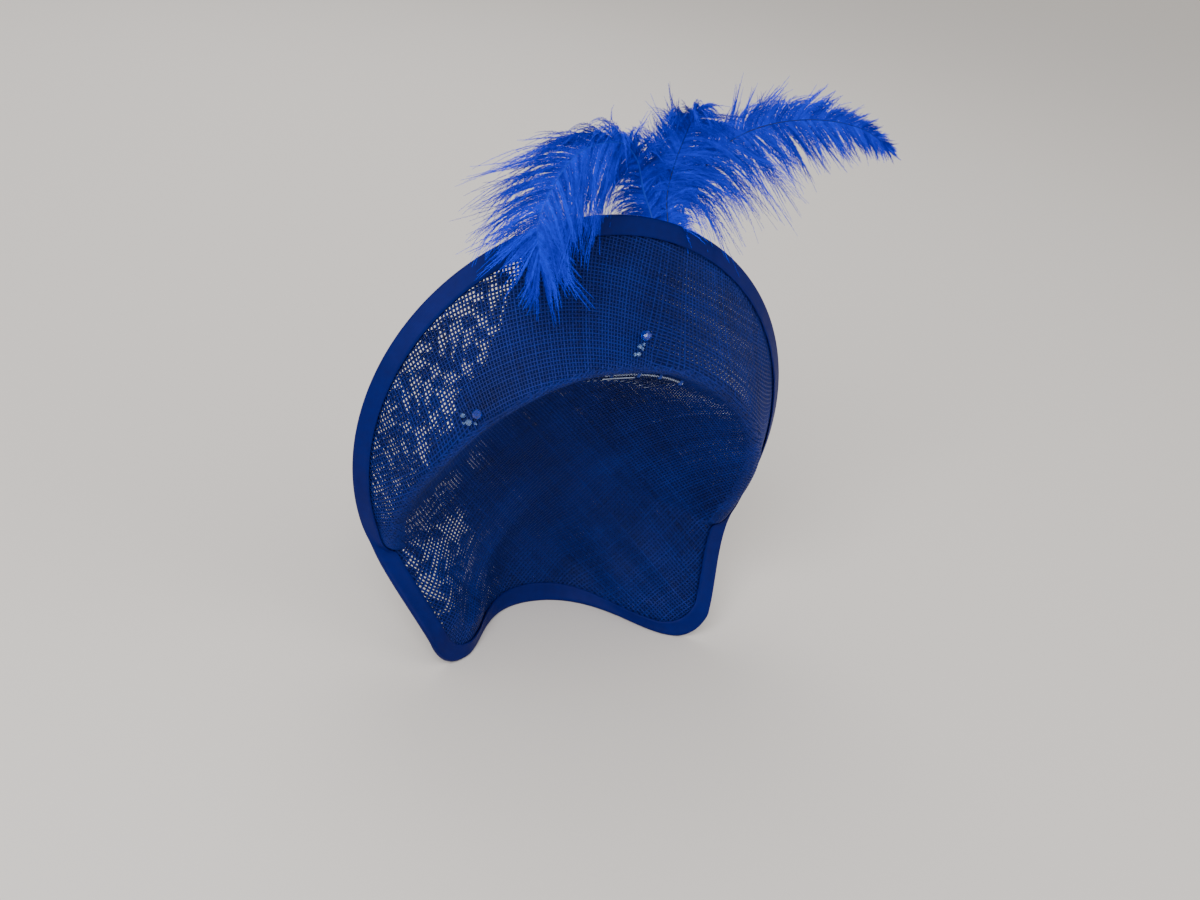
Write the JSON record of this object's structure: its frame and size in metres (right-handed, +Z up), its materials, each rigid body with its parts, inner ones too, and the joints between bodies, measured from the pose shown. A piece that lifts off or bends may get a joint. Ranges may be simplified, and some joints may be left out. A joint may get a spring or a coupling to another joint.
{
  "type": "fascinator",
  "caption": "Fascinator with a round upturned brim of open straw mesh, a rolled fold and shallow crown, ribbon-bound edge, wire comb, cut beads and curled ostrich plumes.",
  "frame": {"origin": "on the surface it stands on, where the middle of the nape's edge rests", "axes": "+Z up, front of the brim towards -Y, wearer's left at +X"},
  "size_m": [0.311, 0.0902, 0.3052],
  "materials": {
    "straw_mesh": "open plain weave of stiffened straw, navy blue",
    "ribbon": "satin-faced ribbon, royal navy",
    "comb_wire": "bright wire",
    "blue_glass": "cut glass, cobalt blue",
    "clear_glass": "cut glass, clear",
    "plume": "dyed ostrich feather, bright royal blue"
  },
  "bodies": {
    "root": {"blocked_shell": "straw_mesh", "edge_binding": "ribbon", "wire_comb": "comb_wire", "bead_left_blue": "blue_glass", "bead_left_clear_large": "clear_glass", "bead_left_clear_small": "clear_glass", "bead_centre_blue": "blue_glass", "bead_centre_clear_upper": "clear_glass", "bead_centre_clear_lower": "clear_glass", "plume_left": "plume", "plume_centre": "plume", "plume_right": "plume"}
  },
  "joints": []
}
